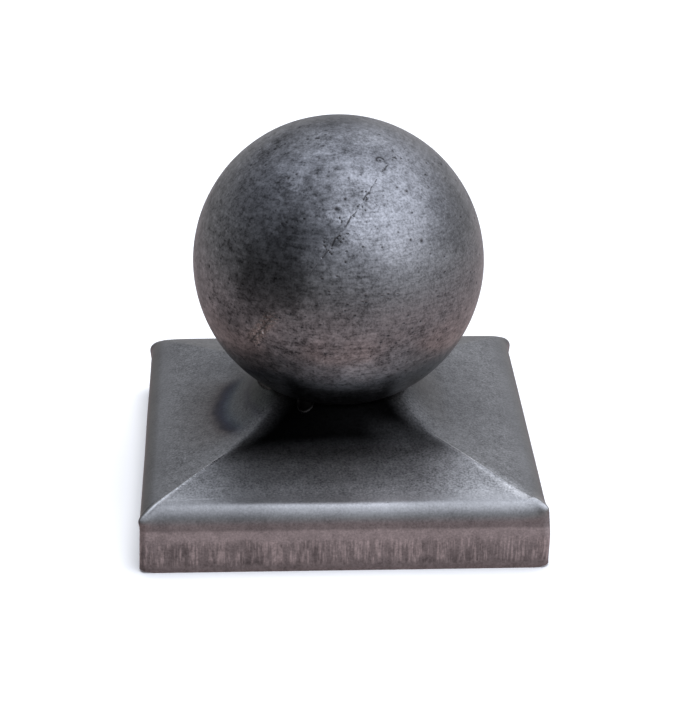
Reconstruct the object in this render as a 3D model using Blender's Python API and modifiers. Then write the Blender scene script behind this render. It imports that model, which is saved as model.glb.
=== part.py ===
"""Ball post cap: a square cap pressed from sheet steel, with a steel ball welded on its collar.

Metres, +Z up. The origin is on the axis, at the level of the skirt's lower edge, on which the
part stands. The cap is square to X and Y, and its hips run along the diagonals.
"""

import math

import bmesh
import bpy

# Driving dimensions of the pressed cap
CAP_WIDTH = 0.103
SHEET = 0.0015
EDGE_HEIGHT = 0.0168
ROOF_PITCH = math.radians(14.4)
BEND_RADIUS = 0.005
CORNER_RADIUS = 0.004
HIP_RADIUS = 0.0025
SKIRT_FLARE = 0.0005

# Driving dimensions of the collar, which is drawn up out of the roof
COLLAR_RADIUS = 0.020
COLLAR_RISE = 0.0055
COLLAR_SWEEP = 0.010
COLLAR_FOOT_CORNER = 0.013
COLLAR_CURVE = 1.6

# Driving dimensions of the ball and of the welds under it
BALL_RADIUS = 0.038
JOINT_GAP = 0.0003
WELD_ROOT = 0.0006
WELD_DEPTH = 0.0020
WELD_CROWN = 0.0006
WELD_START = math.radians(155)
WELD_END = math.radians(210)
TACK_DEPTH = 0.0016
TACK_WIDTH = 0.0040
TACK_ANGLE = math.radians(241)

# Both ends of a bead are thinner: their share of its full depth, and how late the thinning starts
WELD_END_SHARE = 0.4
WELD_END_CURVE = 3

# How finely the curved faces are cut into flat ones
SIDE_STEPS = 6
CORNER_STEPS = 3
COLLAR_STEPS = 6
ROOF_STEPS = 2
BEND_STEPS = 6
BALL_SEGMENTS = 60
BALL_RINGS = 30
WELD_STEPS = 12
TACK_STEPS = 6
WELD_SECTION_STEPS = 3

# The skirt is drawn this much too long, and is then cut off level
TRIM = 0.004

# Edges that turn by more than this are shaded as edges
SHARP_ANGLE = math.radians(40)

HALF_WIDTH = CAP_WIDTH / 2
FOOT_HALF_WIDTH = COLLAR_RADIUS + COLLAR_SWEEP
SKIRT_LEAN = math.atan(SKIRT_FLARE / EDGE_HEIGHT)


def between(start, end, share):
    """The value that lies this share of the way from start to end."""
    return start + (end - start) * share


def ray_angles():
    """Directions of the points round the cap: even along each side, and close together at its corners."""
    straight = HALF_WIDTH - CORNER_RADIUS
    eighth = [math.atan2(straight * k / SIDE_STEPS, HALF_WIDTH) for k in range(SIDE_STEPS)]
    for k in range(CORNER_STEPS):
        turn = math.radians(45) * k / CORNER_STEPS
        x = straight + CORNER_RADIUS * math.cos(turn)
        y = straight + CORNER_RADIUS * math.sin(turn)
        eighth.append(math.atan2(y, x))
    quarter = eighth + [math.radians(45)] + [math.radians(90) - angle for angle in reversed(eighth[1:])]
    return [math.radians(90) * side + angle for side in range(4) for angle in quarter]


def square_reach(angle, half_width, corner):
    """Distance from the axis to a square with rounded corners, in one direction."""
    short, long = sorted((abs(math.cos(angle)), abs(math.sin(angle))))
    straight = half_width - corner
    to_side = half_width / long
    if to_side * short <= straight:
        return to_side
    middle = straight * (short + long)
    return middle + math.sqrt(middle**2 - 2 * straight**2 + corner**2)


def roof_height(x, y):
    """Height of the plain roof's outer face, whose level lines are squares with rounded corners."""
    near, far = sorted((abs(x), abs(y)))
    half_width = far
    if far - near < HIP_RADIUS:
        rounding = math.sqrt(2 * HIP_RADIUS**2 - (far - near) ** 2) / 2
        half_width = (near + far) / 2 + HIP_RADIUS - rounding
    return EDGE_HEIGHT + math.tan(ROOF_PITCH) * (HALF_WIDTH - half_width)


def collar_edge_height():
    """Height of the collar's upper edge, which rises the same all round."""
    return roof_height(COLLAR_RADIUS, 0) + COLLAR_RISE


def collar_foot(angle):
    """Distance from the axis to the line where the collar dies into the roof."""
    return square_reach(angle, FOOT_HALF_WIDTH, min(COLLAR_FOOT_CORNER, FOOT_HALF_WIDTH))


def top_height(angle, radius):
    """Height of the outer face of roof and collar together."""
    along, across = math.cos(angle), math.sin(angle)
    height = roof_height(radius * along, radius * across)
    foot = collar_foot(angle)
    if radius >= foot:
        return height
    rise = collar_edge_height() - roof_height(COLLAR_RADIUS * along, COLLAR_RADIUS * across)
    return height + rise * ((foot - radius) / (foot - COLLAR_RADIUS)) ** COLLAR_CURVE


def ball_height():
    """Height of the ball's centre when it sits on the collar's edge with the joint gap between them."""
    return collar_edge_height() + math.sqrt((BALL_RADIUS + JOINT_GAP) ** 2 - COLLAR_RADIUS**2)


def place(angle, radius, height):
    return (radius * math.cos(angle), radius * math.sin(angle), height)


def cap_rings():
    """Rings of points on the cap's outer face, from the collar's edge out to the skirt's lower edge."""
    angles = ray_angles()
    bend_over = math.cos(ROOF_PITCH + SKIRT_LEAN)
    bend_half_width = HALF_WIDTH - BEND_RADIUS * (math.cos(ROOF_PITCH) - math.sin(SKIRT_LEAN)) / bend_over
    bend_height = EDGE_HEIGHT - BEND_RADIUS * (math.cos(SKIRT_LEAN) - math.sin(ROOF_PITCH)) / bend_over
    roof_half_width = bend_half_width + BEND_RADIUS * math.sin(ROOF_PITCH)

    def top_ring(reach):
        return [place(angle, reach(angle), top_height(angle, reach(angle))) for angle in angles]

    def level_ring(half_width, corner, height):
        return [place(angle, square_reach(angle, half_width, corner), height) for angle in angles]

    def roof_edge(angle):
        return square_reach(angle, roof_half_width, HIP_RADIUS)

    rings = []
    for k in range(COLLAR_STEPS + 1):
        share = k / COLLAR_STEPS
        rings.append(top_ring(lambda angle: between(COLLAR_RADIUS, collar_foot(angle), share)))
    for k in range(1, ROOF_STEPS + 1):
        share = k / ROOF_STEPS
        rings.append(top_ring(lambda angle: between(collar_foot(angle), roof_edge(angle), share)))
    for k in range(1, BEND_STEPS + 1):
        share = k / BEND_STEPS
        slope = between(ROOF_PITCH, math.radians(90) - SKIRT_LEAN, share)
        half_width = bend_half_width + BEND_RADIUS * math.sin(slope)
        height = bend_height + BEND_RADIUS * math.cos(slope)
        rings.append(level_ring(half_width, between(HIP_RADIUS, CORNER_RADIUS, share), height))
    trimmed_half_width = HALF_WIDTH + SKIRT_FLARE * (EDGE_HEIGHT + TRIM) / EDGE_HEIGHT
    rings.append(level_ring(trimmed_half_width, CORNER_RADIUS, -TRIM))
    return rings


def weld_section(angle, depth):
    """Points round a bead's section, from its root along the collar, over its face and back along the ball."""
    root = COLLAR_RADIUS + WELD_ROOT
    shares = [k / WELD_SECTION_STEPS for k in range(WELD_SECTION_STEPS + 1)]
    on_collar = []
    under_ball = []
    for share in shares:
        radius = root + depth * share
        fall = (top_height(angle, radius) - top_height(angle, radius + WELD_ROOT)) / WELD_ROOT
        on_collar.append((radius, top_height(angle, radius) + JOINT_GAP * math.hypot(1, fall)))
        under_ball.append((radius, ball_height() - math.sqrt((BALL_RADIUS + JOINT_GAP) ** 2 - radius**2)))
    low, high = on_collar[-1], under_ball[-1]
    crown = WELD_CROWN * depth / WELD_DEPTH
    face = [
        (between(low[0], high[0], share) + crown * math.sin(math.pi * share), between(low[1], high[1], share))
        for share in shares[1:-1]
    ]
    return on_collar + face + under_ball[::-1]


def weld_rings(start, end, depth, steps):
    """Sections along a bead, which is shallow at both of its ends."""
    rings = []
    for k in range(steps + 1):
        share = k / steps
        angle = between(start, end, share)
        fullness = between(1, WELD_END_SHARE, abs(2 * share - 1) ** WELD_END_CURVE)
        section = weld_section(angle, depth * fullness)
        rings.append([place(angle, radius, height) for radius, height in section])
    return rings


def loft(name, rings, ends=False):
    """A mesh through a row of rings that have the same number of points, with or without end faces."""
    mesh = bmesh.new()
    rows = [[mesh.verts.new(point) for point in ring] for ring in rings]
    count = len(rows[0])
    for row, following in zip(rows, rows[1:]):
        for k in range(count):
            after = (k + 1) % count
            mesh.faces.new((row[k], following[k], following[after], row[after]))
    if ends:
        mesh.faces.new(rows[0])
        mesh.faces.new(rows[-1][::-1])
        bmesh.ops.recalc_face_normals(mesh, faces=mesh.faces)
    return mesh_from(name, mesh)


def mesh_from(name, mesh):
    data = bpy.data.meshes.new(name)
    mesh.to_mesh(data)
    mesh.free()
    data.shade_smooth()
    data.set_sharp_from_angle(angle=SHARP_ANGLE)
    return data


def steel(name, color, roughness):
    material = bpy.data.materials.new(name)
    material.use_nodes = True
    shader = material.node_tree.nodes["Principled BSDF"]
    shader.inputs["Base Color"].default_value = (*color, 1)
    shader.inputs["Metallic"].default_value = 1
    shader.inputs["Roughness"].default_value = roughness
    return material


def add_object(data, collection, material=None, location=(0, 0, 0)):
    part = bpy.data.objects.new(data.name, data)
    part.location = location
    if material:
        data.materials.append(material)
    collection.objects.link(part)
    return part


def skirt_trimmer(collection):
    """A block under the part, which cuts the skirt off level."""
    mesh = bmesh.new()
    bmesh.ops.create_cube(mesh, size=2 * CAP_WIDTH)
    bmesh.ops.translate(mesh, verts=mesh.verts, vec=(0, 0, -CAP_WIDTH))
    cutter = add_object(mesh_from("skirt_trimmer", mesh), collection)
    cutter.hide_render = True
    cutter.display_type = "WIRE"
    return cutter


def build_pressed_cap(collection, cutters):
    material = steel("pressed_sheet_steel", (0.30, 0.30, 0.31), 0.38)
    cap = add_object(loft("pressed_cap", cap_rings()), collection, material)
    wall = cap.modifiers.new("sheet", "SOLIDIFY")
    wall.thickness = SHEET
    wall.offset = -1
    wall.use_even_offset = True
    trim = cap.modifiers.new("level_skirt", "BOOLEAN")
    trim.operation = "DIFFERENCE"
    trim.solver = "EXACT"
    trim.object = skirt_trimmer(cutters)


def build_ball(collection):
    mesh = bmesh.new()
    bmesh.ops.create_uvsphere(mesh, u_segments=BALL_SEGMENTS, v_segments=BALL_RINGS, radius=BALL_RADIUS)
    material = steel("ground_ball_steel", (0.24, 0.24, 0.26), 0.35)
    add_object(mesh_from("ball", mesh), collection, material, (0, 0, ball_height()))


def build_welds(collection):
    material = steel("weld_metal", (0.34, 0.33, 0.32), 0.5)
    run = weld_rings(WELD_START, WELD_END, WELD_DEPTH, WELD_STEPS)
    add_object(loft("weld_run", run, ends=True), collection, material)
    half_turn = TACK_WIDTH / 2 / COLLAR_RADIUS
    tack = weld_rings(TACK_ANGLE - half_turn, TACK_ANGLE + half_turn, TACK_DEPTH, TACK_STEPS)
    add_object(loft("weld_tack", tack, ends=True), collection, material)


def main():
    for item in list(bpy.data.objects):
        bpy.data.objects.remove(item, do_unlink=True)
    collection = bpy.data.collections.new("ball_post_cap")
    cutters = bpy.data.collections.new("cutters")
    bpy.context.scene.collection.children.link(collection)
    bpy.context.scene.collection.children.link(cutters)
    build_pressed_cap(collection, cutters)
    build_ball(collection)
    build_welds(collection)


main()
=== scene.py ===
"""The looks of the ball post cap: its pressed sheet, its ground ball and the two weld beads.

Metres, +Z up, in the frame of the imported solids. The front is -Y, and the run of weld is at -X.
"""

import math
import random

import bmesh
import bpy
from mathutils import Matrix, Vector, kdtree, noise


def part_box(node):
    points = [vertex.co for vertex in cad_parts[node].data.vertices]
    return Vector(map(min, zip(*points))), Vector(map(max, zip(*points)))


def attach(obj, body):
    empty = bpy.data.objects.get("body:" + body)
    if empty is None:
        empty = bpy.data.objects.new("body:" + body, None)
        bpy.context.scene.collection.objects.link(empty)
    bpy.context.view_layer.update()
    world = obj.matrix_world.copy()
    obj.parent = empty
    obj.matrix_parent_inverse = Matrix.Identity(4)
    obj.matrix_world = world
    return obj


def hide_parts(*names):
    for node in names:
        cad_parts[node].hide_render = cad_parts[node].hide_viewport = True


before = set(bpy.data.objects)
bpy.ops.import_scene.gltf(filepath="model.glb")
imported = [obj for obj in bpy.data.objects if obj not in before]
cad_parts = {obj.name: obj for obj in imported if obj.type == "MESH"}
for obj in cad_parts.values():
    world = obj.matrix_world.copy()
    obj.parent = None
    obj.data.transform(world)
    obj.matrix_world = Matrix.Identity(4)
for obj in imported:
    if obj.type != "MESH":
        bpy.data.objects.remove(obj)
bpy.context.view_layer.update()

MM = 0.001

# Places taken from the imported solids
_, CAP_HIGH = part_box("pressed_cap")
BALL_LOW, BALL_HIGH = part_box("ball")
BALL_RADIUS = (BALL_HIGH.z - BALL_LOW.z) / 2
BALL_CENTRE = (BALL_LOW + BALL_HIGH) / 2

# Sizes of the pressed sheet, as in the solids but for its tighter corner and the collar's softer curve
SHEET = 1.5 * MM
SKIRT_FLARE = 0.5 * MM
HALF_WIDTH = CAP_HIGH.x - SKIRT_FLARE
EDGE_HEIGHT = 16.8 * MM
ROOF_PITCH = math.radians(14.4)
BEND_RADIUS = 5 * MM
CORNER_RADIUS = 1.8 * MM
SKIRT_LEAN = math.atan(SKIRT_FLARE / EDGE_HEIGHT)
COLLAR_RADIUS = 20 * MM
COLLAR_SWEEP = 10 * MM
COLLAR_FOOT_CORNER = 13 * MM
COLLAR_CURVE = 1.9
FOOT_HALF_WIDTH = COLLAR_RADIUS + COLLAR_SWEEP

# The collar's edge is sunk a little into the ball all round, as it is welded there
COLLAR_EDGE = BALL_CENTRE.z - math.sqrt(BALL_RADIUS**2 - COLLAR_RADIUS**2) + 0.14 * MM

# The hips are tight folds with a fine raised line, and run straight out to the corners
HIP_RADIUS_HIGH = 1.5 * MM
HIP_RADIUS_LOW = 1.8 * MM
HIP_OPENS_FROM = 32 * MM
HIP_OPENS_TO = 45 * MM
HIP_BEAD_WIDTH = 0.7 * MM
HIP_BEAD_FADE = 6 * MM

# For the hip on each side of X and Y: where its raised line starts and ends, and its height
BEADS = {
    (-1, -1): (29 * MM, 60 * MM, 0.22 * MM),
    (1, -1): (22 * MM, 38 * MM, 0.22 * MM),
    (-1, 1): (30 * MM, 60 * MM, 0.07 * MM),
    (1, 1): (30 * MM, 60 * MM, 0.07 * MM),
}

# The front right hip alone opens wide towards its corner
WIDE_HIP_RADIUS = 4.2 * MM

# The crowded metal at each corner of the bend stands out in an ear, and the bend there dips or rises.
# For the corner on each side of X and Y: the ear's bulge, height and depth, the dip, which is negative
# for a rise, and the skirt's bulge
CORNERS = {
    (-1, -1): (1.90 * MM, 15.6 * MM, 2.5 * MM, 0.35 * MM, 0),
    (1, -1): (2.60 * MM, 17.0 * MM, 2.8 * MM, -1.10 * MM, 0.60 * MM),
    (-1, 1): (1.25 * MM, 14.0 * MM, 4.2 * MM, 0.50 * MM, 0),
    (1, 1): (1.90 * MM, 13.6 * MM, 4.6 * MM, 0.20 * MM, 0.40 * MM),
}
EAR_REACH = 3.2 * MM
SKIRT_BULGE_HEIGHT = 8.5 * MM
SKIRT_BULGE_DEPTH = 6 * MM
BEND_DIP_REACH = 7 * MM
RIM_LIFT = 0.6 * MM
RIM_LIFT_REACH = 3.0 * MM

# Slight unevenness of pressed sheet
ROOF_WAVE = 0.10 * MM
SKIRT_WAVE = 0.12 * MM
WAVE_SIZE = 22 * MM

# Where each of these sets in and is full: heights above the rim, and distances out from the axis
ROOF_HEIGHTS = (12 * MM, 16 * MM)
RIM_HEIGHTS = (0, 4 * MM)
BEND_DIP_HEIGHTS = (4 * MM, 12 * MM)
BEND_DIP_OUT = (38 * MM, 47 * MM)
ROOF_WAVE_OUT = (22 * MM, 30 * MM)

# The sheared edges of the sheet are a little rounded
SHEARED_EDGE = 0.12 * MM
SHEARED_EDGE_STEPS = 2
SHEARED_EDGE_ANGLE = math.radians(50)

# How finely the sheet is cut
SIDE_RAYS = 40
CORNER_RAYS = 26
CORNER_FAN = math.radians(3.5)
COLLAR_ROWS = 14
ROOF_ROWS = 18
BEND_ROWS = 16
SKIRT_ROWS = 12


def between(start, end, share):
    return start + (end - start) * share


def ease(start, end, value):
    """0 up to start, 1 from end on, and a smooth change between them."""
    share = min(max((value - start) / (end - start), 0), 1)
    return share * share * (3 - 2 * share)


def bell(distance, reach):
    """1 at no distance, falling smoothly to nearly nothing a little past the reach."""
    return math.exp(-((distance / reach) ** 2) * 2)


# The pressed cap


def ray_angles():
    """Directions of the points round the cap, closer together where a hip meets a corner."""
    fan_start = math.radians(45) - CORNER_FAN
    eighth = [math.atan(math.tan(fan_start) * k / SIDE_RAYS) for k in range(SIDE_RAYS)]
    eighth += [fan_start + CORNER_FAN * k / CORNER_RAYS for k in range(CORNER_RAYS)]
    quarter = eighth + [math.radians(45)] + [math.radians(90) - angle for angle in reversed(eighth[1:])]
    return [math.radians(90) * side + angle for side in range(4) for angle in quarter]


def square_reach(angle, half_width, corner):
    """Distance from the axis to a square with rounded corners, in one direction."""
    short, long = sorted((abs(math.cos(angle)), abs(math.sin(angle))))
    straight = half_width - corner
    to_side = half_width / long
    if to_side * short <= straight:
        return to_side
    middle = straight * (short + long)
    return middle + math.sqrt(middle**2 - 2 * straight**2 + corner**2)


def hip_radius(x, y, far):
    low = WIDE_HIP_RADIUS if x > 0 > y else HIP_RADIUS_LOW
    return between(HIP_RADIUS_HIGH, low, ease(HIP_OPENS_FROM, HIP_OPENS_TO, far))


def roof_height(x, y):
    """Height of the plain roof, whose level lines are squares with rounded corners."""
    near, far = sorted((abs(x), abs(y)))
    radius = hip_radius(x, y, far)
    half_width = far
    if far - near < radius:
        half_width = (near + far) / 2 + radius - math.sqrt(2 * radius**2 - (far - near) ** 2) / 2
    return EDGE_HEIGHT + math.tan(ROOF_PITCH) * (HALF_WIDTH - half_width)


def collar_foot(angle):
    return square_reach(angle, FOOT_HALF_WIDTH, COLLAR_FOOT_CORNER)


def top_height(angle, radius):
    """Height of roof and collar together."""
    along, across = math.cos(angle), math.sin(angle)
    height = roof_height(radius * along, radius * across)
    foot_shade = collar_foot(angle)
    if radius >= foot_shade:
        return height
    rise = COLLAR_EDGE - roof_height(COLLAR_RADIUS * along, COLLAR_RADIUS * across)
    return height + rise * ((foot_shade - radius) / (foot_shade - COLLAR_RADIUS)) ** COLLAR_CURVE


def place(angle, radius, height):
    return Vector((radius * math.cos(angle), radius * math.sin(angle), height))


def sheet_rows():
    """Rows of points on the outer face, from the collar's edge out to the skirt's lower edge."""
    angles = ray_angles()
    bend_over = math.cos(ROOF_PITCH + SKIRT_LEAN)
    bend_half_width = HALF_WIDTH - BEND_RADIUS * (math.cos(ROOF_PITCH) - math.sin(SKIRT_LEAN)) / bend_over
    bend_height = EDGE_HEIGHT - BEND_RADIUS * (math.cos(SKIRT_LEAN) - math.sin(ROOF_PITCH)) / bend_over
    roof_half_width = bend_half_width + BEND_RADIUS * math.sin(ROOF_PITCH)
    rows = []
    for k in range(COLLAR_ROWS + 1):
        share = k / COLLAR_ROWS
        radii = [between(COLLAR_RADIUS, collar_foot(angle), share) for angle in angles]
        rows.append([place(a, r, top_height(a, r)) for a, r in zip(angles, radii)])
    for k in range(1, ROOF_ROWS + 1):
        share = k / ROOF_ROWS
        edges = [square_reach(angle, roof_half_width, HIP_RADIUS_LOW) for angle in angles]
        radii = [between(collar_foot(a), edge, share) for a, edge in zip(angles, edges)]
        rows.append([place(a, r, top_height(a, r)) for a, r in zip(angles, radii)])
    for k in range(1, BEND_ROWS + 1):
        share = k / BEND_ROWS
        slope = between(ROOF_PITCH, math.radians(90) - SKIRT_LEAN, share)
        half_width = bend_half_width + BEND_RADIUS * math.sin(slope)
        height = bend_height + BEND_RADIUS * math.cos(slope)
        corner = between(HIP_RADIUS_LOW, CORNER_RADIUS, share)
        rows.append([place(a, square_reach(a, half_width, corner), height) for a in angles])
    skirt_top = rows[-1][0].z
    skirt_foot = SHEET * math.sin(SKIRT_LEAN)
    for k in range(1, SKIRT_ROWS + 1):
        height = between(skirt_top, skirt_foot, k / SKIRT_ROWS)
        half_width = HALF_WIDTH + SKIRT_FLARE * (EDGE_HEIGHT - height) / EDGE_HEIGHT
        rows.append([place(a, square_reach(a, half_width, CORNER_RADIUS), height) for a in angles])
    return rows


def work_sheet(point):
    """Moves a point of the plain pressing to where the crowded corners, hips and unevenness leave it."""
    near, far = sorted((abs(point.x), abs(point.y)))
    sides = int(math.copysign(1, point.x)), int(math.copysign(1, point.y))
    ear_bulge, ear_height, ear_depth, bend_dip, skirt_bulge = CORNERS[sides]
    to_corner = max(HALF_WIDTH - near, 0)
    outward = Vector((point.x, point.y, 0)).normalized()
    moved = point.copy()
    on_roof = ease(*ROOF_HEIGHTS, point.z)
    above_rim = ease(*RIM_HEIGHTS, point.z)
    hip_start, hip_end, bead = BEADS[sides]
    hip = bell(far - near, HIP_BEAD_WIDTH) * ease(hip_start, hip_start + HIP_BEAD_FADE, far)
    moved.z += bead * hip * (1 - ease(hip_end, hip_end + HIP_BEAD_FADE, far)) * on_roof
    dip = bell(to_corner, BEND_DIP_REACH) * ease(*BEND_DIP_OUT, far) * ease(*BEND_DIP_HEIGHTS, point.z)
    moved.z -= bend_dip * dip
    ear = ear_bulge * bell(point.z - ear_height, ear_depth)
    ear += skirt_bulge * bell(point.z - SKIRT_BULGE_HEIGHT, SKIRT_BULGE_DEPTH)
    moved += outward * ear * bell(to_corner, EAR_REACH)
    lift = bell(to_corner, RIM_LIFT_REACH) * (1 - above_rim)
    moved.z += RIM_LIFT * lift
    wave = noise.noise(point / WAVE_SIZE)
    moved.z += ROOF_WAVE * wave * on_roof * ease(*ROOF_WAVE_OUT, far)
    moved += outward * SKIRT_WAVE * wave * (1 - on_roof) * above_rim
    return moved


def grow_rings(mesh, rings):
    """Grows a surface from a circle, one row of extruded edges after another."""
    number = mesh.verts.layers.int.new("number")
    made = bmesh.ops.create_circle(mesh, segments=len(rings[0]), radius=1)
    for k, vert in enumerate(made["verts"]):
        vert[number] = k
        vert.co = rings[0][k]
    edges = mesh.edges[:]
    for ring in rings[1:]:
        grown = bmesh.ops.extrude_edge_only(mesh, edges=edges)["geom"]
        edges = [item for item in grown if isinstance(item, bmesh.types.BMEdge)]
        for vert in [item for item in grown if isinstance(item, bmesh.types.BMVert)]:
            vert.co = ring[vert[number]]
    mesh.verts.layers.int.remove(number)


def face_out(mesh, centre):
    """Turns the faces so that most of them point away from the centre."""
    bmesh.ops.recalc_face_normals(mesh, faces=mesh.faces)
    outward = sum(face.normal.dot(face.calc_center_median() - centre) for face in mesh.faces)
    if outward < 0:
        bmesh.ops.reverse_faces(mesh, faces=mesh.faces)


def add_piece(name, mesh, material, slot, *nodes):
    data = bpy.data.meshes.new(name)
    mesh.to_mesh(data)
    mesh.free()
    data.shade_smooth()
    data.materials.append(material)
    piece = bpy.data.objects.new(name, data)
    bpy.context.scene.collection.objects.link(piece)
    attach(piece, "root")
    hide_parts(*nodes)
    return piece


def build_cap(material):
    mesh = bmesh.new()
    grow_rings(mesh, [[work_sheet(point) for point in row] for row in sheet_rows()])
    face_out(mesh, Vector((0, 0, -CAP_HIGH.x)))
    cap = add_piece("pressed_sheet", mesh, material, "pressed_cap", "pressed_cap")
    wall = cap.modifiers.new("sheet", "SOLIDIFY")
    wall.thickness = SHEET
    wall.offset = -1
    wall.use_even_offset = True
    edges = cap.modifiers.new("sheared_edges", "BEVEL")
    edges.width = SHEARED_EDGE
    edges.segments = SHEARED_EDGE_STEPS
    edges.limit_method = "ANGLE"
    edges.angle_limit = SHEARED_EDGE_ANGLE


# The ball

# The ball's two halves were welded and ground flush, which leaves a broken hairline round it. The line
# sways and wiggles, and its width swells along it, as shares of the half widths below
SEAM_AXIS = Vector((-0.767, 0.400, 0.501)).normalized()
SEAM_START = Vector((0, 0, 1)).cross(SEAM_AXIS).normalized()
SEAM_QUARTER = SEAM_AXIS.cross(SEAM_START)
SEAM_SWAY = math.radians(2.5)
SEAM_WAVES = 3
SEAM_PHASE = math.radians(30)
SEAM_WIGGLE = 0.55 * MM
SEAM_WIGGLE_SIZE = 2.2 * MM
SEAM_FULLNESS = 0.85
SEAM_SWELL = 0.9
SEAM_SWELL_SIZE = 0.8 * MM
SEAM_STEP = 0.25 * MM
SEAM_DEPTH = 0.13 * MM
HAIRLINE = 0.11 * MM
CRACK = 0.17 * MM
GAP = 0.26 * MM

# The pits strewn beside the seam, on a stretch that is given in degrees along it
SEAM_PITS = 34
SEAM_PITS_SEED = 11
SEAM_PITS_STRETCH = (28, 86)
SEAM_PITS_SPREAD = 0.9 * MM
SEAM_PIT_RADIUS = (0.14 * MM, 0.30 * MM)

# Stretches of the hairline that are open: start and end in degrees along the seam, and half width
SEAM_OPEN = (
    (22.0, 27.0, HAIRLINE),
    (30.0, 33.5, CRACK),
    (35.5, 38.0, GAP),
    (38.0, 40.5, CRACK),
    (45.0, 48.5, GAP),
    (49.5, 51.5, CRACK),
    (53.0, 54.5, HAIRLINE),
    (57.0, 60.0, CRACK),
    (60.0, 61.0, GAP),
    (61.0, 67.5, HAIRLINE),
    (72.5, 76.5, GAP),
    (82.5, 83.5, GAP),
    (90.0, 94.0, HAIRLINE),
    (118.0, 121.0, CRACK),
    (131.0, 138.0, HAIRLINE),
    (150.0, 152.0, GAP),
    (166.0, 175.0, HAIRLINE),
    (190.0, 193.0, CRACK),
    (204.0, 211.0, HAIRLINE),
    (228.0, 231.0, GAP),
    (246.0, 254.0, HAIRLINE),
    (272.0, 275.0, CRACK),
)

# The stretch of the seam that was never ground: two angles along it, the radians in which it fades at
# each end, its half width, and the height of its scale
SCAR_START = math.radians(-20)
SCAR_END = math.radians(2)
SCAR_FADE = 0.08
SCAR_WIDTH = 2.4 * MM
SCAR_HEIGHT = 0.34 * MM
SCAR_STEP = 0.5 * MM

# The scar's wrinkles, coarse and fine, by how many there are to the ball's radius, and its dark crease
WRINKLES = 55
FINE_WRINKLES = 130
FINE_WRINKLE_SHARE = 0.6
CREASE_SWAY = 0.35 * MM
CREASE_WIDTH = 0.40 * MM
CREASE_DEPTH = 0.8 * SCAR_HEIGHT
CREASE_GRIME = 0.45

# Pits that show singly, each as its azimuth and elevation from the ball's centre, and its radius
PITS = (
    (-94.0, 42.9, 0.55 * MM),
    (-89.3, 46.9, 0.40 * MM),
    (-126.5, 53.1, 0.50 * MM),
    (-55.0, 26.8, 0.50 * MM),
    (-52.2, 46.6, 0.45 * MM),
    (-19.8, 52.3, 0.42 * MM),
    (-42.2, 60.9, 0.40 * MM),
    (-75.4, 48.8, 0.42 * MM),
)
PIT_DEPTH = 0.16 * MM

# The small pits, whose heights from the ball's centre are shares of its radius
SMALL_PITS = 150
SMALL_PITS_SEED = 7
SMALL_PIT_HEIGHTS = (-0.75, 0.98)
SMALL_PIT_RADIUS = (0.20 * MM, 0.42 * MM)
SMALL_PIT_DEPTH = 0.09 * MM

# How far a hollow reaches and how softly it ends, as multiples of its radius
HOLLOW_REACH = 2
HOLLOW_SOFTNESS = 1.3

# The small pressed ring near the top, and the scratch to the right of it, whose step is a share of the
# ball's radius
RING_PLACE = (-57.4, 62.3)
RING_RADIUS = 0.95 * MM
RING_WIDTH = 0.30 * MM
RING_DEPTH = 0.055 * MM
RING_STEPS = 12
SCRATCH_ENDS = ((-38.6, 61.3), (-39.8, 52.9))
SCRATCH_WIDTH = 0.16 * MM
SCRATCH_DEPTH = 0.05 * MM
SCRATCH_STEP = 0.006

BALL_WAVE = 0.05 * MM
BALL_WAVE_SIZE = 11 * MM

# How finely the ball is cut: all over, round every mark in two rounds, and once more along the seam
BALL_SUBDIVISIONS = 7
MARK_REACHES = (0.9 * MM, 0.5 * MM)
SEAM_REACH = 0.25 * MM


def from_ball(azimuth, elevation):
    """A direction from the ball's centre, from degrees round from +X and up from level."""
    turn, lift = math.radians(azimuth), math.radians(elevation)
    return Vector((math.cos(lift) * math.cos(turn), math.cos(lift) * math.sin(turn), math.sin(lift)))


def seam_sway(along):
    return -SEAM_SWAY * math.cos(SEAM_WAVES * (along - SEAM_PHASE))


def on_seam(direction):
    """Angle along the seam, and signed distance from its swaying line."""
    along = math.atan2(direction.dot(SEAM_QUARTER), direction.dot(SEAM_START))
    across = math.asin(max(-1, min(1, direction.dot(SEAM_AXIS))))
    return along, (across - seam_sway(along)) * BALL_RADIUS


def seam_point(along, aside=0):
    """A direction on the seam's line, or beside it by a length."""
    across = seam_sway(along) + aside / BALL_RADIUS
    level = math.cos(along) * SEAM_START + math.sin(along) * SEAM_QUARTER
    return math.cos(across) * level + math.sin(across) * SEAM_AXIS


def steps_between(start, end, length, spacing):
    """Values from start to end, that are about the spacing apart along the length."""
    count = max(1, round(length / spacing))
    return [between(start, end, k / count) for k in range(count + 1)]


def seam_hollows():
    """Directions, half widths and depths along the open hairline, and of the pits beside it."""
    hollows = []
    for start, end, half_width in SEAM_OPEN:
        low, high = math.radians(start), math.radians(end)
        for along in steps_between(low, high, (high - low) * BALL_RADIUS, SEAM_STEP):
            wiggle = noise.noise(Vector((along * BALL_RADIUS / SEAM_WIGGLE_SIZE, 0, 0)))
            swell = noise.noise(Vector((0, along * BALL_RADIUS / SEAM_SWELL_SIZE, 0)))
            half_open = half_width * (SEAM_FULLNESS + SEAM_SWELL * swell)
            hollows.append((seam_point(along, SEAM_WIGGLE * wiggle), half_open, SEAM_DEPTH))
    chance = random.Random(SEAM_PITS_SEED)
    for _ in range(SEAM_PITS):
        along = math.radians(chance.uniform(*SEAM_PITS_STRETCH))
        spot = seam_point(along, chance.gauss(0, SEAM_PITS_SPREAD))
        hollows.append((spot, chance.uniform(*SEAM_PIT_RADIUS), SEAM_DEPTH))
    return hollows


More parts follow.
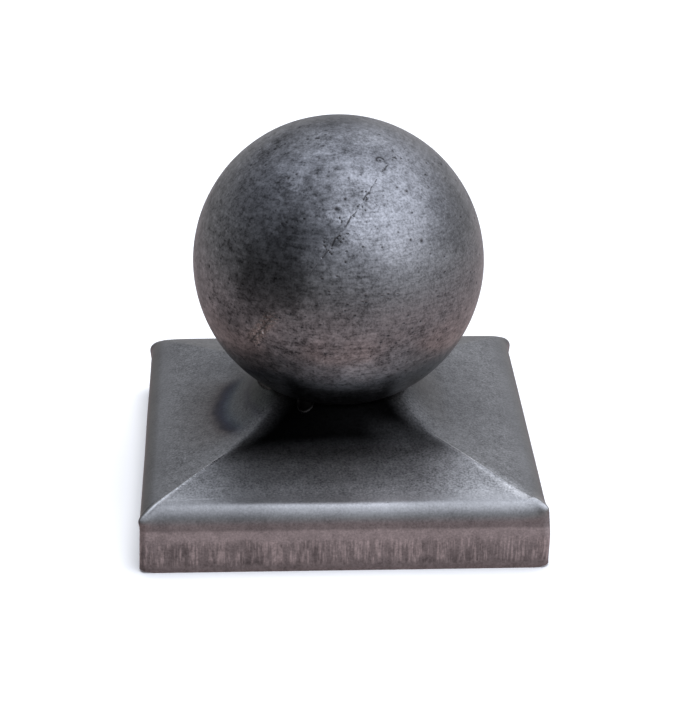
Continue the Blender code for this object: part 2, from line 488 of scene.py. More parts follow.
def scatter_pits():
    """Directions, radii and depths of the small pits, which are strewn over nearly the whole ball."""
    chance = random.Random(SMALL_PITS_SEED)
    pits = []
    for _ in range(SMALL_PITS):
        turn = chance.uniform(0, 2 * math.pi)
        height = chance.uniform(*SMALL_PIT_HEIGHTS)
        level = math.sqrt(1 - height**2)
        direction = Vector((level * math.cos(turn), level * math.sin(turn), height))
        pits.append((direction, chance.uniform(*SMALL_PIT_RADIUS), SMALL_PIT_DEPTH))
    return pits


def scar_grid():
    """Directions all over the unground scar."""
    across = steps_between(-SCAR_WIDTH, SCAR_WIDTH, 2 * SCAR_WIDTH, SCAR_STEP)
    along = steps_between(SCAR_START, SCAR_END, (SCAR_END - SCAR_START) * BALL_RADIUS, SCAR_STEP)
    return [seam_point(a, aside) for a in along for aside in across]


def scratch_line():
    start, end = (from_ball(*ends) for ends in SCRATCH_ENDS)
    shares = steps_between(0, 1, (end - start).length, SCRATCH_STEP)
    return [start.lerp(end, share).normalized() for share in shares]


def ring_line():
    """Directions along the small pressed ring, of which only half shows."""
    middle = from_ball(*RING_PLACE)
    level = middle.cross(Vector((0, 0, 1))).normalized()
    above = level.cross(middle)
    turns = [math.pi * k / RING_STEPS for k in range(RING_STEPS + 1)]
    spread = RING_RADIUS / BALL_RADIUS
    return [(middle + spread * (math.cos(t) * level + math.sin(t) * above)).normalized() for t in turns]


def on_ball(direction):
    return BALL_CENTRE + direction * BALL_RADIUS


def cut_finer(mesh, spots, reach):
    """Cuts each edge near the spots in two, and brings the new points out to the ball."""
    tree = kdtree.KDTree(len(spots))
    for k, spot in enumerate(spots):
        tree.insert(on_ball(spot), k)
    tree.balance()
    middles = [(edge, (edge.verts[0].co + edge.verts[1].co) / 2) for edge in mesh.edges]
    edges = [edge for edge, middle in middles if tree.find(middle)[2] < reach]
    bmesh.ops.subdivide_edges(mesh, edges=edges, cuts=1)
    bmesh.ops.triangulate(mesh, faces=[face for face in mesh.faces if len(face.verts) > 3])
    for vert in mesh.verts:
        vert.co = on_ball((vert.co - BALL_CENTRE).normalized())


def mark_ball(mesh, hollows):
    """Sinks the hollows, raises the unground scar and waves the whole ball a little."""
    grime = mesh.verts.layers.float.new("grime")
    unground = mesh.verts.layers.float.new("unground")
    mesh.verts.ensure_lookup_table()
    tree = kdtree.KDTree(len(mesh.verts))
    for vert in mesh.verts:
        tree.insert(vert.co, vert.index)
    tree.balance()
    depths = [0.0] * len(mesh.verts)
    for direction, radius, depth in hollows:
        for _, index, distance in tree.find_range(on_ball(direction), HOLLOW_REACH * radius):
            fullness = bell(distance, HOLLOW_SOFTNESS * radius)
            depths[index] = max(depths[index], depth * fullness)
            if depth > SCRATCH_DEPTH:
                mesh.verts[index][grime] = max(mesh.verts[index][grime], fullness)
    for vert in mesh.verts:
        direction = (vert.co - BALL_CENTRE).normalized()
        along, aside = on_seam(direction)
        inside = ease(SCAR_START, SCAR_START + SCAR_FADE, along)
        inside *= 1 - ease(SCAR_END - SCAR_FADE, SCAR_END, along)
        scar = inside * (1 - ease(0.5 * SCAR_WIDTH, SCAR_WIDTH, abs(aside)))
        wrinkle = noise.noise(direction * WRINKLES)
        wrinkle += FINE_WRINKLE_SHARE * noise.noise(direction * FINE_WRINKLES)
        crease = bell(aside - CREASE_SWAY * wrinkle, CREASE_WIDTH) * inside
        vert[unground] = scar
        vert[grime] = max(vert[grime], CREASE_GRIME * crease * (1 + wrinkle))
        height = SCAR_HEIGHT * scar * (0.3 + wrinkle) - CREASE_DEPTH * crease
        wave = BALL_WAVE * noise.noise(direction * BALL_RADIUS / BALL_WAVE_SIZE)
        vert.co += direction * (height + wave - depths[vert.index])


def build_ball(material):
    seam = seam_hollows()
    placed_pits = [(from_ball(turn, lift), radius, PIT_DEPTH) for turn, lift, radius in PITS]
    hollows = seam + placed_pits + scatter_pits()
    hollows += [(direction, RING_WIDTH, RING_DEPTH) for direction in ring_line()]
    hollows += [(direction, SCRATCH_WIDTH, SCRATCH_DEPTH) for direction in scratch_line()]
    spots = [direction for direction, _, _ in hollows]
    mesh = bmesh.new()
    bmesh.ops.create_icosphere(mesh, subdivisions=BALL_SUBDIVISIONS, radius=BALL_RADIUS)
    bmesh.ops.translate(mesh, verts=mesh.verts, vec=BALL_CENTRE)
    for reach in MARK_REACHES:
        cut_finer(mesh, spots + scar_grid(), reach)
    cut_finer(mesh, [direction for direction, _, _ in seam], SEAM_REACH)
    mark_ball(mesh, hollows)
    face_out(mesh, BALL_CENTRE)
    add_piece("ground_ball", mesh, material, "ball", "ball")


# The welds

# The run of weld and the tack: where they lie round the collar, how far they reach out from the crevice,
# how blunt their ends are, and how finely they are cut
RUN_START = math.radians(155)
RUN_END = math.radians(210)
RUN_TAPER = 3
RUN_STEPS = 110
TACK_ANGLE = math.radians(243.4)
TACK_WIDTH = 4.4 * MM
TACK_DEPTH = 2.2 * MM
TACK_TAPER = 2.2
TACK_STEPS = 20
WELD_SECTION_STEPS = 10
WELD_DEPTH = 1.3 * MM
WELD_END_SHARE = 0.3

# The bead's section: its inner edge, how far it sinks into the collar, its crown, its lumps, the laps it
# was laid in and its rim, which gets a painted highlight
WELD_ROOT = 0.2 * MM
WELD_SINK = 0.05 * MM
WELD_CROWN = 0.15 * MM
WELD_FACE = 2 * MM
WELD_LUMP = 0.07 * MM
WELD_LUMP_SIZE = 0.7 * MM
WELD_LAP = 1.2 * MM
WELD_RIPPLE = 0.09
WELD_HIGHLIT_RIM = 0.65 * MM


def weld_section(angle, depth):
    """Points round a bead's section: out along the collar, up over its face, and back along the ball."""
    shares = [k / WELD_SECTION_STEPS for k in range(WELD_SECTION_STEPS + 1)]
    radii = [COLLAR_RADIUS + WELD_ROOT + depth * share for share in shares]
    low = [(radius, top_height(angle, radius) - WELD_SINK) for radius in radii]
    high = [(radius, BALL_CENTRE.z - math.sqrt(BALL_RADIUS**2 - radius**2)) for radius in radii]
    crown = WELD_CROWN * depth / WELD_DEPTH
    face = []
    for share in shares[1:-1]:
        radius = between(low[-1][0], high[-1][0], share) + crown * math.sin(math.pi * share)
        lump = WELD_LUMP * noise.noise(place(angle, radius, share * WELD_FACE) / WELD_LUMP_SIZE)
        face.append((radius + lump, between(low[-1][1], high[-1][1], share)))
    return [place(angle, radius, height) for radius, height in low + face + high[::-1]]


def mark_highlit_rim(mesh):
    """Marks the thin edge of a bead that lies on the collar, where a highlight is painted."""
    highlit_rim = mesh.verts.layers.float.new("highlit_rim")
    for vert in mesh.verts:
        angle, radius = math.atan2(vert.co.y, vert.co.x), math.hypot(vert.co.x, vert.co.y)
        vert[highlit_rim] = bell(vert.co.z - top_height(angle, radius), WELD_HIGHLIT_RIM)


def build_weld(names, start, end, depth, taper, ripple, steps, material):
    """Lays a bead, which gets smaller towards its ends and is rippled where it was laid in laps."""
    name, node = names
    rings = []
    for k in range(steps + 1):
        share = k / steps
        fullness = between(1, WELD_END_SHARE, abs(2 * share - 1) ** taper)
        travelled = share * (end - start) * COLLAR_RADIUS
        swell = 1 + ripple * math.sin(2 * math.pi * travelled / WELD_LAP)
        rings.append(weld_section(between(start, end, share), depth * fullness * swell))
    mesh = bmesh.new()
    grow_rings(mesh, rings)
    bmesh.ops.holes_fill(mesh, edges=mesh.edges, sides=0)
    mark_highlit_rim(mesh)
    middle = between(start, end, 0.5)
    face_out(mesh, place(middle, COLLAR_RADIUS + WELD_DEPTH / 2, COLLAR_EDGE))
    add_piece(name, mesh, material, "weld", node)


def build_welds(material):
    run = ("weld_run_bead", "weld_run")
    build_weld(run, RUN_START, RUN_END, WELD_DEPTH, RUN_TAPER, WELD_RIPPLE, RUN_STEPS, material)
    half_turn = TACK_WIDTH / 2 / COLLAR_RADIUS
    tack = ("weld_tack_bead", "weld_tack")
    start, end = TACK_ANGLE - half_turn, TACK_ANGLE + half_turn
    build_weld(tack, start, end, TACK_DEPTH, TACK_TAPER, 0, TACK_STEPS, material)


# Node trees


class Socket:
    """One output of a node. Arithmetic on it adds Math nodes to the same tree."""

    def __init__(self, tree, out):
        self.tree = tree
        self.out = out

    def math(self, operation, first, second=0.0):
        return self.tree.node("ShaderNodeMath", {"operation": operation}, {0: first, 1: second})

    def __add__(self, other):
        return self.math("ADD", self, other)

    def __radd__(self, other):
        return self.math("ADD", other, self)

    def __sub__(self, other):
        return self.math("SUBTRACT", self, other)

    def __rsub__(self, other):
        return self.math("SUBTRACT", other, self)

    def __mul__(self, other):
        return self.math("MULTIPLY", self, other)

    def __rmul__(self, other):
        return self.math("MULTIPLY", other, self)

    def __truediv__(self, other):
        return self.math("DIVIDE", self, other)

    def __rtruediv__(self, other):
        return self.math("DIVIDE", other, self)

    def __abs__(self):
        return self.math("ABSOLUTE", self)

    def output(self, name):
        """Another output of the same node."""
        return Socket(self.tree, self.out.node.outputs[name])


class Tree:
    """A node tree whose nodes all come from one method."""

    def __init__(self, owner):
        owner.use_nodes = True
        self.nodes = owner.node_tree.nodes
        self.links = owner.node_tree.links

    def node(self, kind, settings=None, inputs=None, output=0):
        """Adds a node, sets it up, feeds its sockets with values or links, and gives one of its outputs."""
        node = self.nodes.new(kind)
        for name, value in (settings or {}).items():
            setattr(node, name, value)
        self.feed(node, inputs or {})
        return Socket(self, node.outputs[output])

    def feed(self, node, inputs):
        for name, value in inputs.items():
            if isinstance(value, Socket):
                self.links.new(value.out, node.inputs[name])
            else:
                node.inputs[name].default_value = value

    def mix(self, factor, first, second, blend="MIX"):
        """Mixes two colours."""
        settings = {"data_type": "RGBA", "blend_type": blend}
        return self.node("ShaderNodeMix", settings, {0: factor, 6: first, 7: second}, 2)

    def rise(self, value, low, high):
        """0 at low, 1 at high, and a smooth change between them, whichever of the two is larger."""
        inputs = {"Value": value, "From Min": low, "From Max": high}
        return self.node("ShaderNodeMapRange", {"interpolation_type": "SMOOTHSTEP"}, inputs)

    def vector(self, operation, first, second, output=0):
        return self.node("ShaderNodeVectorMath", {"operation": operation}, {0: first, 1: second}, output)

    def dot(self, first, second):
        return self.vector("DOT_PRODUCT", first, second, "Value")

    def length(self, vector):
        return self.node("ShaderNodeVectorMath", {"operation": "LENGTH"}, {0: vector}, "Value")

    def parts(self, vector):
        first = self.node("ShaderNodeSeparateXYZ", inputs={0: vector})
        return first, first.output("Y"), first.output("Z")

    def noise(self, position, size, detail=2, roughness=0.5):
        inputs = {"Vector": position, "Scale": 1 / size, "Detail": detail, "Roughness": roughness}
        return self.node("ShaderNodeTexNoise", inputs=inputs)

    def specks(self, position, size, share, radius):
        """1 inside round specks. A share of the cells of that size hold one."""
        cell = self.node("ShaderNodeTexVoronoi", inputs={"Vector": position, "Scale": 1 / size})
        chance = self.parts(cell.output("Color"))[0]
        return self.rise(cell, radius / size, 0.4 * radius / size) * self.rise(chance, share, share - 0.02)

    def attribute(self, name):
        return self.node("ShaderNodeAttribute", {"attribute_name": name}, output="Fac")

    def bump(self, height):
        """The normal of a surface with a relief whose height is in millimetres."""
        return self.node("ShaderNodeBump", inputs={"Strength": 1, "Distance": MM, "Height": height})


def start_metal(name):
    """A new material, its tree, and the place on the object in millimetres."""
    material = bpy.data.materials.new(name)
    tree = Tree(material)
    coordinates = tree.node("ShaderNodeTexCoord", output="Object")
    position = tree.vector("MULTIPLY", coordinates, (1 / MM, 1 / MM, 1 / MM))
    return material, tree, position


def finish_metal(tree, color, roughness, relief):
    """Feeds the shader of bare metal. The relief's height is in millimetres."""
    inputs = {"Base Color": color, "Metallic": 1, "Roughness": roughness, "Normal": tree.bump(relief)}
    tree.feed(tree.nodes["Principled BSDF"], inputs)


# Finishes

SHEET_COLOR = (0.335, 0.330, 0.325, 1)
SKIRT_COLOR = (0.345, 0.305, 0.305, 1)
BALL_COLOR = (0.27, 0.27, 0.28, 1)
BALL_LOW_COLOR = (0.275, 0.250, 0.248, 1)
SCALE_COLOR = (0.33, 0.28, 0.26, 1)
GRIME_COLOR = (0.035, 0.032, 0.033, 1)
WELD_COLOR = (0.36, 0.35, 0.34, 1)

# The colours that the weld's heat left on the roof, as rings round a centre, in millimetres. They fade
# out between two angles from -X, in radians, and waver by a length
TINT_CENTRE = (-2.8, -5.3, 0)
TINT_FAN = (0.68, 0.42)
TINT_WAVER = 2.4
TINT_WAVER_SIZE = 5
TINT_COLORS = (
    (19.6, (0.66, 0.70, 0.65, 1)),
    (21.2, (0.46, 0.46, 0.51, 1)),
    (23.1, (0.74, 0.77, 0.77, 1)),
    (25.3, (0.72, 0.77, 0.79, 1)),
    (26.8, (0.36, 0.43, 0.52, 1)),
    (28.2, (0.14, 0.15, 0.25, 1)),
    (29.6, (0.17, 0.15, 0.19, 1)),
    (31.0, (0.56, 0.50, 0.48, 1)),
    (32.8, (0.78, 0.74, 0.71, 1)),
    (37.0, (0.85, 0.83, 0.81, 1)),
    (44.0, (1.00, 1.00, 1.00, 1)),
)

# Stains of the ball, partly real and partly painted reflections of the room's dark and bright sides:
# azimuth and elevation from its centre, width in degrees, and change of tone
STAINS_AND_REFLECTIONS = (
    (-118, 15, 22, -0.46),
    (-109, 27, 17, -0.22),
    (-106, 40, 17, -0.36),
    (-142, 45, 18, -0.20),
    (-158, 68, 14, -0.34),
    (112, 78, 18, -0.34),
    (-86, 36, 9, 0.30),
    (-100, 22, 8, 0.16),
    (-151, 30, 13, 0.16),
    (-126, 57, 10, 0.24),
    (-62, 68, 13, -0.22),
    (-106, 55, 11, -0.22),
    (-140, -14, 14, -0.24),
    (-101, -22, 12, -0.30),
    (-30, 34, 20, -0.30),
    (-90, 86, 15, -0.30),
    (-110, -12, 21, 0.30),
    (-86, -13, 15, 0.18),
    (-150, 8, 17, 0.20),
    (70, 30, 26, -0.35),
    (120, -5, 22, 0.30),
)

# The faint line that the press left beside the bend at the front left: the stretches of X over which it
# comes and goes, and its slope and place, in millimetres
PRESS_LINE_COMES = (-46, -44)
PRESS_LINE_GOES = (-29, -33)
PRESS_LINE_SLOPE = 0.056
PRESS_LINE_PLACE = (-37.9, -46.35)

# Distances in millimetres over which the roofs change: those of the side and back roofs from the axis,
# and those of the front roof out towards its edge and from its middle to the sides. They lay painted
# shade in the crevice round the ball, a near black painted reflection of the ball's dark underside on the
# front roof, and a painted highlight towards the front edge
SIDES_SHADE = (50, 28)
SIDES_CREVICE_SHADE = (28, 21)
FRONT_OUT_OF_SHADE = (25.3, 37)
FRONT_HIGHLIGHT = (38, 47.5)
FRONT_HIGHLIGHT_END = (50, 48.6)
FRONT_EDGE = (47.5, 49.5)
FRONT_MIDDLE = (23, 8)
FRONT_CREVICE_SHADE = 0.012

# Heights of the skirt's bands in millimetres: where each sets in, and where it is full
SKIRT_FROM = (15.4, 13.4)
LIGHTER_FROM = (12.2, 11.2)
STREAKS_FROM = (9.6, 7.6)
STREAKS_END = (1.2, 3.0)
DARKER_FROM = (8.4, 5.6)
FOOT_SHADE_FROM = (4.0, 0.8)

# Heights from the ball's centre where it turns brown, and where it darkens with painted shade above the
# collar
BROWN_FROM = (-2, -14)
LOW_SHADE_FROM = (-16, -22)


def heat_tint(tree, position):
    """Bands of temper colour beside the run of weld, to multiply the steel's colour with."""
    from_centre = tree.vector("SUBTRACT", tree.vector("MULTIPLY", position, (1, 1, 0)), TINT_CENTRE)
    far = tree.length(from_centre)
    far = far + (tree.noise(position, TINT_WAVER_SIZE, 3) - 0.5) * TINT_WAVER
    ramp = tree.node("ShaderNodeValToRGB", inputs={0: far / TINT_COLORS[-1][0]})
    stops = ramp.out.node.color_ramp.elements
    while len(stops) < len(TINT_COLORS):
        stops.new(1)
    for stop, (distance, color) in zip(stops, TINT_COLORS):
        stop.position = distance / TINT_COLORS[-1][0]
        stop.color = color
    x, y, _ = tree.parts(from_centre)
    turned = abs(x.math("ARCTAN2", y, 0 - x))
    return tree.mix(tree.rise(turned, *TINT_FAN), (1, 1, 1, 1), ramp)


def roof_shade_and_highlight(tree, x, y, far):
    """Tone of the roofs: painted shade in the crevice round the ball, and a painted highlight at the front
    edge.

    The front roof alone is near black in the crevice, as painted shade and a painted reflection of the
    ball's dark underside.
    """
    radius = tree.length(tree.node("ShaderNodeCombineXYZ", inputs={0: x, 1: y}))
    sides = 0.84 - tree.rise(radius, *SIDES_SHADE) * 0.29 - tree.rise(radius, *SIDES_CREVICE_SHADE) * 0.19
    out_of_shade = tree.rise(far + tree.rise(x, 6, 16) * 1.5, *FRONT_OUT_OF_SHADE)
    highlight = tree.rise(far, *FRONT_HIGHLIGHT) * tree.rise(far, *FRONT_HIGHLIGHT_END)
    middle = tree.rise(abs(x + 3), *FRONT_MIDDLE)
    front = FRONT_CREVICE_SHADE + tree.rise(x, 4, 16) * tree.rise(far, 20, 25) * 0.13
    front = front + out_of_shade * (0.96 + middle * 0.44) + highlight * (0.38 + middle * 0.30)
    front = front - tree.rise(far, *FRONT_EDGE) * middle * 0.22
    softness = 1 + tree.rise(far, 36, 23) * 7
    on_front = tree.rise((0 - y - abs(x)) / softness, -0.4, 0.8)
    return sides + on_front * (front - sides)


def sheet_finish():
    """Cold formed sheet: grained roofs with painted shade and painted highlights, polished bends, and a
    skirt that the drawing die has streaked.
    """
    material, tree, position = start_metal("pressed_sheet_steel")
    x, y, height = tree.parts(position)
    aside = abs(x) - abs(y)
    far = (abs(x) + abs(y) + abs(aside)) * 0.5
    clouds = tree.noise(position, 17, 3)
    grain = tree.noise(position, 0.55, 2, 0.65)
    blotches = tree.noise(position, 2.4, 3, 0.6)
    specks = tree.specks(position, 2.6, 0.16, 0.30)
    calm = 1 - tree.rise(far, 43, 48.5) * 0.60
    tone = 0.87 + (clouds - 0.5) * 0.55 + ((grain - 0.5) * 1.9 + (blotches - 0.5) * 0.75) * calm
    tone = tone * (1 - specks * 0.30) * roof_shade_and_highlight(tree, x, y, far)

    # The hips and the bend are polished to a lower roughness. The hips also get a painted highlight, with a
    # painted shadow line beside each hip near its corner, and the front right hip and corner more painted
    # highlight
    at_front = tree.rise(y, 10, -10)
    at_front_right = at_front * tree.rise(x, -10, 10)
    hip_reach = 1.3 + tree.rise(far, 30, 47) * at_front_right * 2.6
    hip_start = 25 - at_front_right * 2
    on_hip = tree.rise(abs(aside + 0.2) / hip_reach, 1, 0.1) * tree.rise(far - hip_start, 0, 9)
    on_hip = on_hip * tree.rise(height, 15.5, 17.0) * (0.25 + at_front * 0.75)
    hip_shadow_line = tree.rise(abs(aside - hip_reach), 0.6, 0.1) * tree.rise(far, 45, 49) * at_front
    on_bend = tree.rise(height, 15.2, 16.6) * tree.rise(height, 19.0, 17.6)
    line_x, line_y = PRESS_LINE_PLACE
    from_line = abs(y - line_y - (x - line_x) * PRESS_LINE_SLOPE)
    line_ends = tree.rise(x, *PRESS_LINE_COMES) * tree.rise(x, *PRESS_LINE_GOES)
    press_line = tree.rise(from_line, 0.5, 0.1) * line_ends
    # A painted highlight along the upper front right hip, and another at the front right corner
    upper_hip_highlight = tree.rise(abs(aside + 0.3), 0.8, 0.2) * tree.rise(far, 22, 25) * tree.rise(far, 41, 34)
    corner_highlight = tree.rise(far, 45, 50) * tree.rise(abs(aside), 8, 2) * at_front_right
    hip_highlight_and_shadow = on_hip * (0.46 - at_front_right * 0.14) - hip_shadow_line * (1 - at_front_right) * 0.35
    tone = tone * (1 + hip_highlight_and_shadow + corner_highlight * 0.32 + press_line * 0.12) + upper_hip_highlight * at_front_right * 0.50
    tone = tone * (1 - tree.rise(height, 17.2, 15.6) * 0.16)

    # On the skirt a dark band lies under the bend, then lighter metal with upright streaks, growing darker
    # towards the foot, a painted reflection of the shadow on the floor
    upright = tree.vector("MULTIPLY", position, (1, 1, 0.10))
    fine_streaks = tree.noise(upright, 0.55, 2, 0.6)
    broad_streaks = tree.noise(upright, 3.2, 2)
    dull_patches = tree.rise(tree.noise(tree.vector("MULTIPLY", position, (1, 1, 0.7)), 6, 2), 0.54, 0.66)
    edge_waver = (tree.noise(position, 2.2, 2) - 0.5) * 1.6
    lighter_band = tree.rise(height + edge_waver * 0.5, *LIGHTER_FROM)
    streaked = tree.rise(height + edge_waver * 1.5, *STREAKS_FROM) * tree.rise(height, *STREAKS_END)
    pale = tree.rise(fine_streaks * 0.7 + broad_streaks * 0.3, 0.46, 0.62)
    foot_shade = tree.rise(height + edge_waver * 0.4, *FOOT_SHADE_FROM)
    skirt_tone = 1.00 + lighter_band * 0.56 + streaked * (pale - 0.5) * 0.66 - streaked * dull_patches * 0.30
    skirt_tone = skirt_tone - tree.rise(height, *DARKER_FROM) * 0.20 - foot_shade * 0.52
    skirt_tone = skirt_tone * (0.05 + grain * 1.10 + blotches * 0.80) * (0.90 + clouds * 0.20)
    on_skirt = tree.rise(height, *SKIRT_FROM)

    color = tree.mix(1, SHEET_COLOR, heat_tint(tree, position), "MULTIPLY")
    color = tree.mix(on_skirt, color, SKIRT_COLOR)
    color = tree.mix(1, color, tone * (1 - on_skirt) + skirt_tone * on_skirt, "MULTIPLY")
    roughness = 0.37 + (grain - 0.5) * 0.10 - on_bend * 0.06 - on_hip * (0.10 - at_front_right * 0.05)
    roughness = roughness + on_skirt * (0.10 - pale * streaked * 0.08)
    relief = grain * 0.010 - specks * 0.03 + fine_streaks * on_skirt * 0.02 + press_line * 0.02
    finish_metal(tree, color, roughness, relief)
    return material


def ball_finish():
    """Ground steel: fine streaks round the ball, dark and pale stains that are partly painted reflections,
    painted shade low down, and pits.
    """
    material, tree, position = start_metal("ground_ball_steel")
    spot = tree.vector("SUBTRACT", position, tuple(BALL_CENTRE / MM))
    x, _, height = tree.parts(spot)
    mottle = tree.noise(spot, 10, 5, 0.62)
    fine_mottle = tree.noise(spot, 1.5, 3, 0.6)
    grain = tree.noise(spot, 0.60, 2, 0.7)
    scratches = tree.noise(tree.vector("MULTIPLY", spot, (1, 1, 7)), 3.5, 3, 0.65)
    level_streaks = tree.noise(tree.vector("MULTIPLY", spot, (1, 1, 13)), 9, 4, 0.6)
    skin = tree.rise(mottle + (fine_mottle - 0.5) * 0.25, 0.46, 0.66)
    flecks = tree.noise(tree.vector("MULTIPLY", spot, (1, 1, 2.2)), 3.4, 3, 0.6)
    pits = tree.specks(tree.vector("MULTIPLY", spot, (1, 1, 1.7)), 2.1, 0.42, 0.55)
    pits = pits * tree.rise(mottle, 0.44, 0.58)
    pinholes = tree.specks(spot, 0.9, 0.24, 0.24)
    grime = tree.attribute("grime")
    unground = tree.attribute("unground")

    ragged = tree.vector("SUBTRACT", tree.noise(spot, 7, 5, 0.75).output("Color"), (0.5, 0.5, 0.5))
    shifted = tree.vector("ADD", spot, tree.vector("MULTIPLY", ragged, (26, 26, 26)))
    # Stains, partly real and partly painted dark and pale reflections, change the tone
    stain_and_reflection_tone = 1
    for azimuth, elevation, width, change in STAINS_AND_REFLECTIONS:
        inner, outer = math.cos(math.radians(width * 0.4)), math.cos(math.radians(width))
        facing = tree.dot(shifted, from_ball(azimuth, elevation))
        stain_and_reflection_tone = stain_and_reflection_tone * (1 + tree.rise(facing / tree.length(shifted), outer, inner) * change)

    rough = 1 - tree.rise(x, -8, 14) * tree.rise(height, -12, 4)
    tone = 1.06 - skin * 0.24 + (fine_mottle - 0.5) * (1.0 + skin * 0.5 + rough * 1.0) + (grain - 0.5) * 1.8
    tone = tone + (flecks - 0.5) * (0.3 + rough * 1.1)
    tone = tone + (level_streaks - 0.5) * (1 - skin * 0.5) * 0.75 + (scratches - 0.5) * 0.9
    tone = tone.math("MAXIMUM", tone, 0.25) * stain_and_reflection_tone
    tone = tone * (1 - pits * 0.66) * (1 - pinholes * 0.42)
    low_down = tree.rise(height + (mottle - 0.5) * 14, *BROWN_FROM)
    # Painted shade on the lowest part of the ball, above the collar
    low_shade = tree.rise(height + (mottle - 0.5) * 7, *LOW_SHADE_FROM)
    color = tree.mix(low_down * (1 - low_shade), BALL_COLOR, BALL_LOW_COLOR)
    color = tree.mix(unground * 0.8, color, SCALE_COLOR)
    color = tree.mix(1, color, tone * (1 - low_shade * 0.38), "MULTIPLY")
    color = tree.mix(grime * 0.92, color, GRIME_COLOR)
    roughness = 0.31 + skin * 0.10 + (level_streaks - 0.5) * 0.12 + unground * 0.15 + grime * 0.3
    relief = level_streaks * 0.016 * (1 - skin * 0.6) + fine_mottle * 0.014 + grain * 0.006
    relief = relief - pits * 0.05 - pinholes * 0.02
    finish_metal(tree, color, roughness, relief)
    return material


def weld_finish():
    """Sooty weld metal with a painted highlight on its thin rim, and a tack painted near black for shade
    under the ball.
    """
    material, tree, position = start_metal("weld_metal")
    lumps = tree.noise(position, 1.1, 3, 0.6)
    soot = tree.noise(position, 3.5, 2)
    y = tree.parts(position)[1]
    highlit_rim = tree.attribute("highlit_rim")
    # The run's tone varies with its lumps and soot, and its rim gets a painted highlight. The tack at the
    # front is painted near black as shade under the ball, with a painted highlight on its rim
    run_tone = 0.25 + lumps * soot * 0.90 + highlit_rim * 0.25
    tack_shade_and_highlight = 0.012 + highlit_rim * 1.10
    tone = run_tone + tree.rise(y, -12, -14) * (tack_shade_and_highlight - run_tone)
    color = tree.mix(1, WELD_COLOR, tone, "MULTIPLY")
    relief = lumps * 0.06
    roughness = 0.30 + lumps * 0.20
    finish_metal(tree, color, roughness, relief)
    return material


# Light, floor and camera

ROOM_UPPER = (0.48, 0.52, 0.62, 1)
ROOM_MIDDLE = (0.385, 0.385, 0.395, 1)
ROOM_LOWER = (0.50, 0.42, 0.43, 1)
ROOM_UPPER_FROM = 0.9
ROOM_LOWER_FROM = -0.55

# The dark side of the room: azimuth, elevation and width in degrees, and how dark it is
ROOM_DARK = (-65, 17, 72, 0.79)

# Soft windows: azimuth, elevation and width in degrees, and glow
ROOM_WINDOWS = (
    (64, 58, 43, (1.32, 1.40, 1.58, 1)),
    (130, 37, 15, (0.30, 0.31, 0.34, 1)),
    (161, 6, 30, (0.12, 0.12, 0.13, 1)),
    (49, 24, 10, (0.70, 0.73, 0.82, 1)),
    (162, 43, 9, (1.40, 1.47, 1.62, 1)),
    (-163, 44, 10, (0.77, 0.81, 0.88, 1)),
)

# The floor, in metres, and the soft lamp overhead, in metres and watts
FLOOR_HALF_WIDTH = 2
FLOOR_COLOR = (0.86, 0.86, 0.86, 1)
FLOOR_ROUGHNESS = 0.9
SOFTBOX_SIZE = 1.4
SOFTBOX_POWER = 20
SOFTBOX_PLACE = (0.1, 0.1, 1.5)


def room_direction(azimuth, elevation):
    """A direction seen from the object: azimuth 0 is the front, and 90 the right."""
    turn, lift = math.radians(azimuth), math.radians(elevation)
    return (math.cos(lift) * math.sin(turn), -math.cos(lift) * math.cos(turn), math.sin(lift))


def light_the_room():
    """Soft studio light all round, with windows at the right and behind, and a dark left side."""
    world = bpy.data.worlds.new("soft_studio")
    bpy.context.scene.world = world
    tree = Tree(world)
    looking = tree.node("ShaderNodeTexCoord", output="Generated")
    height = tree.node("ShaderNodeSeparateXYZ", inputs={0: looking}, output="Z")

    def lobe(azimuth, elevation, width):
        facing = tree.dot(looking, room_direction(azimuth, elevation))
        exponent = (facing - 1) / (1 - math.cos(math.radians(width)))
        return exponent.math("EXPONENT", exponent)

    color = tree.mix(tree.rise(height, 0, ROOM_UPPER_FROM), ROOM_MIDDLE, ROOM_UPPER)
    color = tree.mix(tree.rise(height, 0, ROOM_LOWER_FROM), color, ROOM_LOWER)
    azimuth, elevation, width, darkness = ROOM_DARK
    color = tree.mix(1 - lobe(azimuth, elevation, width) * darkness, (0, 0, 0, 1), color)
    for azimuth, elevation, width, glow in ROOM_WINDOWS:
        glowing = tree.mix(lobe(azimuth, elevation, width), (0, 0, 0, 1), glow)
        color = tree.mix(1, color, glowing, "ADD")
    tree.feed(tree.nodes["Background"], {"Color": color, "Strength": 1})


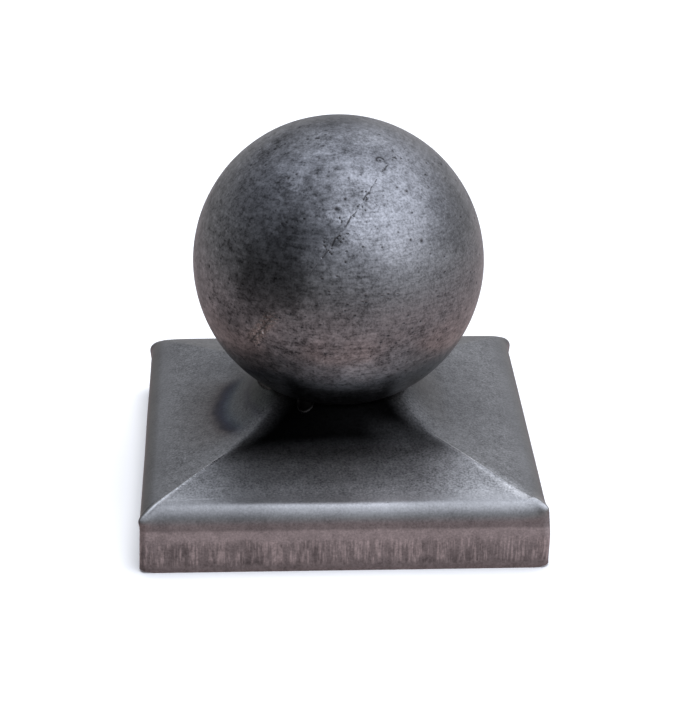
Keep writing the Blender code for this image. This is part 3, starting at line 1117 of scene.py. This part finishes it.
def lay_floor():
    mesh = bmesh.new()
    bmesh.ops.create_grid(mesh, x_segments=1, y_segments=1, size=FLOOR_HALF_WIDTH)
    data = bpy.data.meshes.new("floor")
    mesh.to_mesh(data)
    mesh.free()
    material = bpy.data.materials.new("pale_floor")
    tree = Tree(material)
    tree.feed(tree.nodes["Principled BSDF"], {"Base Color": FLOOR_COLOR, "Roughness": FLOOR_ROUGHNESS})
    data.materials.append(material)
    floor = bpy.data.objects.new("floor", data)
    floor.visible_glossy = False
    bpy.context.scene.collection.objects.link(floor)


def hang_softbox():
    lamp = bpy.data.lights.new("ceiling_softbox", "AREA")
    lamp.shape = "DISK"
    lamp.size = SOFTBOX_SIZE
    lamp.energy = SOFTBOX_POWER
    box = bpy.data.objects.new("ceiling_softbox", lamp)
    box.location = SOFTBOX_PLACE
    box.visible_glossy = False
    bpy.context.scene.collection.objects.link(box)


# The camera's place, from the photo's perspective
CAMERA_YAW = math.radians(-2.67)
CAMERA_PITCH = math.radians(26.09)
CAMERA_ROLL = math.radians(0.55)
CAMERA_DISTANCE = 618.8 * MM
CAMERA_AIM = Vector((1.18 * MM, 0, 33.78 * MM))
CAMERA_LENS = 115.6
CAMERA_SENSOR = 36
CAMERA_NEAREST = 10 * MM


def set_camera():
    forward = Vector(
        (
            -math.sin(CAMERA_YAW) * math.cos(CAMERA_PITCH),
            math.cos(CAMERA_YAW) * math.cos(CAMERA_PITCH),
            -math.sin(CAMERA_PITCH),
        )
    )
    level = Vector((math.cos(CAMERA_YAW), math.sin(CAMERA_YAW), 0))
    above = level.cross(forward)
    right = math.cos(CAMERA_ROLL) * level + math.sin(CAMERA_ROLL) * above
    up = -math.sin(CAMERA_ROLL) * level + math.cos(CAMERA_ROLL) * above
    data = bpy.data.cameras.new("camera")
    data.lens = CAMERA_LENS
    data.sensor_width = CAMERA_SENSOR
    data.clip_start = CAMERA_NEAREST
    camera = bpy.data.objects.new("camera", data)
    turn = Matrix((right, up, -forward)).transposed()
    camera.matrix_world = Matrix.Translation(CAMERA_AIM - forward * CAMERA_DISTANCE) @ turn.to_4x4()
    bpy.context.scene.collection.objects.link(camera)
    bpy.context.scene.camera = camera


build_cap(sheet_finish())
build_ball(ball_finish())
build_welds(weld_finish())
light_the_room()
lay_floor()
hang_softbox()
set_camera()
bpy.context.scene.view_settings.view_transform = "Standard"
